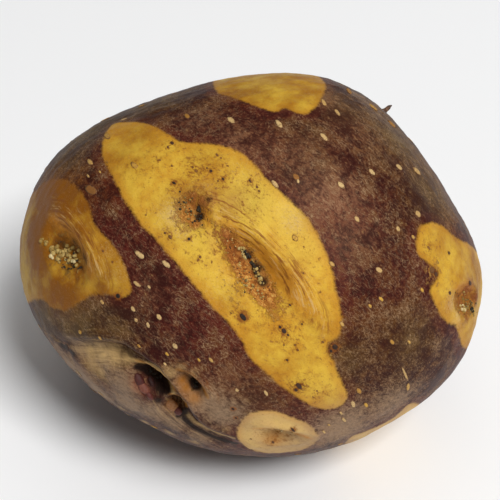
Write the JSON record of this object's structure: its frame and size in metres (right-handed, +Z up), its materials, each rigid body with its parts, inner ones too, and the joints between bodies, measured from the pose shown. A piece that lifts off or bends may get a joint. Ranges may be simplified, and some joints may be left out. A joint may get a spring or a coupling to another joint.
{
  "type": "potato",
  "caption": "Oval potato tuber with sunken eyes under curved brows, a fold at the blunt end and a small pressed foot that it lies on.",
  "frame": {"origin": "on the table, under the middle of the potato's box", "axes": "+Z up as it lies; +X along its longest side, to the right as seen in the picture; +Y away from the viewer"},
  "size_m": [0.0884, 0.0732, 0.0723],
  "materials": {
    "skin": "satin"
  },
  "bodies": {
    "root": {"potato": "skin"}
  },
  "joints": []
}
